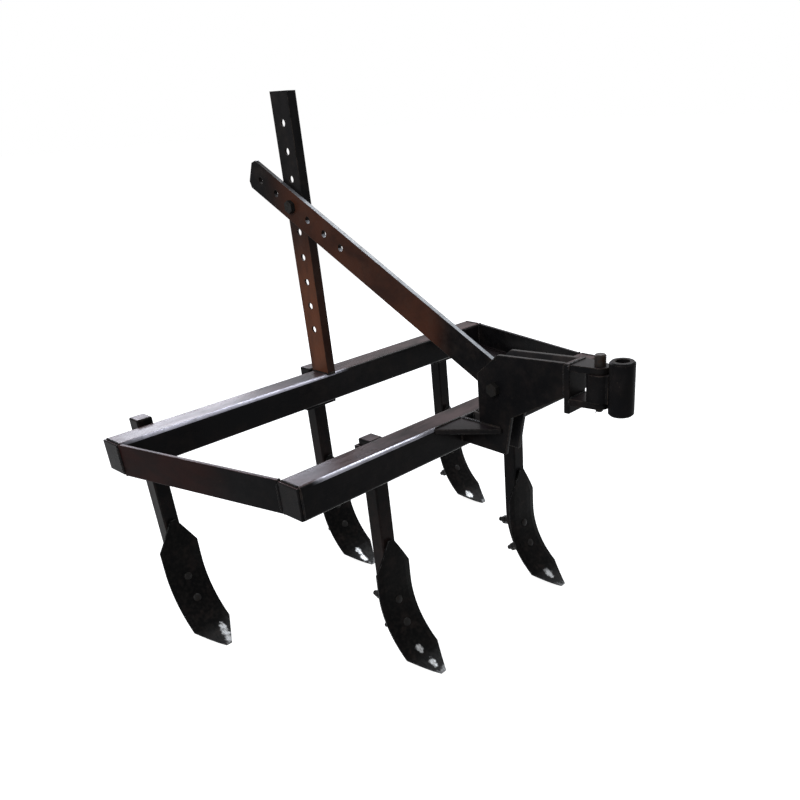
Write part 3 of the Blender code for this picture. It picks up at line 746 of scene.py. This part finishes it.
# mast foot
mast_low, mast_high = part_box("mast_upright")
weld("weld_mast", [
    [(mast_high.x, mast_low.y + EDGE_STOP, top), (mast_high.x, mast_high.y, top)],
    [(mast_high.x - SHORT, mast_high.y, top), (mast_low.x, mast_high.y, top)],
    [(mast_high.x - MAST_T, mast_low.y + EDGE_STOP, top),
     (mast_high.x - MAST_T, mast_high.y - MAST_T - SHORT, top)],
    [(mast_low.x, mast_high.y - MAST_T - SHORT, top),
     (mast_high.x - MAST_T - SHORT, mast_high.y - MAST_T - SHORT, top)],
], MAST_WELD)

# tongue to the bar, gussets, nose and lugs
for side_name, s in SIDES:
    low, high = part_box("tongue_plate_" + side_name)
    outer = high.x if s > 0 else low.x
    inner = low.x if s > 0 else high.x
    gusset_low, gusset_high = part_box("gusset_" + side_name)
    far = gusset_high.x if s > 0 else gusset_low.x
    y = front_high.y
    weld("weld_tongue_" + side_name, [
        [(outer, y, low.z + FOOT_STOP), (outer, y, gusset_low.z - SHORT)],
        [(inner, y, low.z + FOOT_STOP), (inner, y, top - PLATE_STOP)],
        [(outer, y, gusset_low.z), (far - s * PLATE_STOP, y, gusset_low.z)],
        [(outer, y, top), (far - s * PLATE_STOP, y, top)],
        [(outer, y + PLATE_STOP, top), (outer, gusset_high.y - PLATE_STOP, top)],
        [(outer, y + PLATE_STOP, gusset_low.z),
         (outer, gusset_high.y - PLATE_STOP, gusset_low.z)],
        [(outer, high.y, NOSE_LOW), (outer, high.y, high.z - FOOT_STOP)],
    ], TONGUE_WELD)
for lug in ("top", "bottom"):
    low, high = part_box("hitch_lug_" + lug)
    weld("weld_lug_" + lug, [
        [(low.x + EDGE_STOP, low.y, high.z), (high.x - EDGE_STOP, low.y, high.z)],
        [(low.x + EDGE_STOP, low.y, low.z), (high.x - EDGE_STOP, low.y, low.z)],
        [(low.x, low.y, low.z + SHORT), (low.x, low.y, high.z - SHORT)],
        [(high.x, low.y, low.z + SHORT), (high.x, low.y, high.z - SHORT)],
    ], LUG_WELD)

# floor
FLOOR_HALF = 30.0
FLOOR_DROP = 0.0005      # below the shovels' points
FLOOR_COLOUR = (0.30, 0.30, 0.30, 1)
FLOOR_GLOW = 0.86        # where it is seen
bm = bmesh.new()
bmesh.ops.create_grid(bm, x_segments=1, y_segments=1, size=FLOOR_HALF)
mesh = bpy.data.meshes.new("floor")
bm.to_mesh(mesh)
bm.free()
floor = bpy.data.objects.new("floor", mesh)
floor.location.z = -FLOOR_DROP
bpy.context.scene.collection.objects.link(floor)
t = Tree(bpy.data.materials.new("floor"))
diffuse = t.node("ShaderNodeBsdfDiffuse")
diffuse.inputs["Color"].default_value = FLOOR_COLOUR
glow = t.node("ShaderNodeEmission")
t.link(t.math("MULTIPLY", t.seen(), FLOOR_GLOW), glow.inputs["Strength"])
both = t.node("ShaderNodeAddShader")
t.link(diffuse.outputs[0], both.inputs[0])
t.link(glow.outputs[0], both.inputs[1])
t.link(both.outputs[0], t.out.inputs["Surface"])
mesh.materials.append(t.owner)

# world: white where it is seen, softer where it lights
WORLD_LIGHTS = 0.55
WORLD_SEEN = 1.0
world = bpy.data.worlds.new("studio")
bpy.context.scene.world = world
t = Tree(world, "ShaderNodeOutputWorld")
back = t.node("ShaderNodeBackground")
back.inputs["Color"].default_value = (1, 1, 1, 1)
t.link(t.ramp(t.seen(), 0.0, 1.0, WORLD_LIGHTS, WORLD_SEEN), back.inputs["Strength"])
t.link(back.outputs[0], t.out.inputs["Surface"])


def lamp(name, at, to, size, power, colour):
    """A soft rectangular lamp."""
    light = bpy.data.lights.new(name, "AREA")
    light.shape = "RECTANGLE"
    light.size, light.size_y = size
    light.energy = power
    light.color = colour
    ob = bpy.data.objects.new(name, light)
    ob.location = at
    ob.rotation_euler = (Vector(to) - Vector(at)).to_track_quat("-Z", "Y").to_euler()
    ob.visible_camera = False
    bpy.context.scene.collection.objects.link(ob)


MIDDLE = (0.0, 0.0, 0.5)
NEAR_TOPS = (0.45, -0.25, 0.52)
NEAR_CORNER = (0.42, 0.10, 0.52)
STAY_TOP = (0.02, -0.10, 0.74)
# name, place, aim, size, watts, colour
LAMPS = [
    ("key", (2.6, 0.6, 2.4), MIDDLE, (1.8, 1.8), 95, (1, 1, 1)),
    ("behind", (-1.15, -3.62, 1.95), NEAR_TOPS, (0.95, 1.0), 66, (0.88, 0.89, 1.0)),
    ("corner", (-1.62, -2.92, 2.40), NEAR_CORNER, (0.5, 0.5), 30, (0.82, 0.86, 1.0)),
    ("above", (-1.85, -0.55, 2.85), STAY_TOP, (1.9, 0.75), 120, (0.93, 0.97, 1.0)),
]
for row in LAMPS:
    lamp(*row)
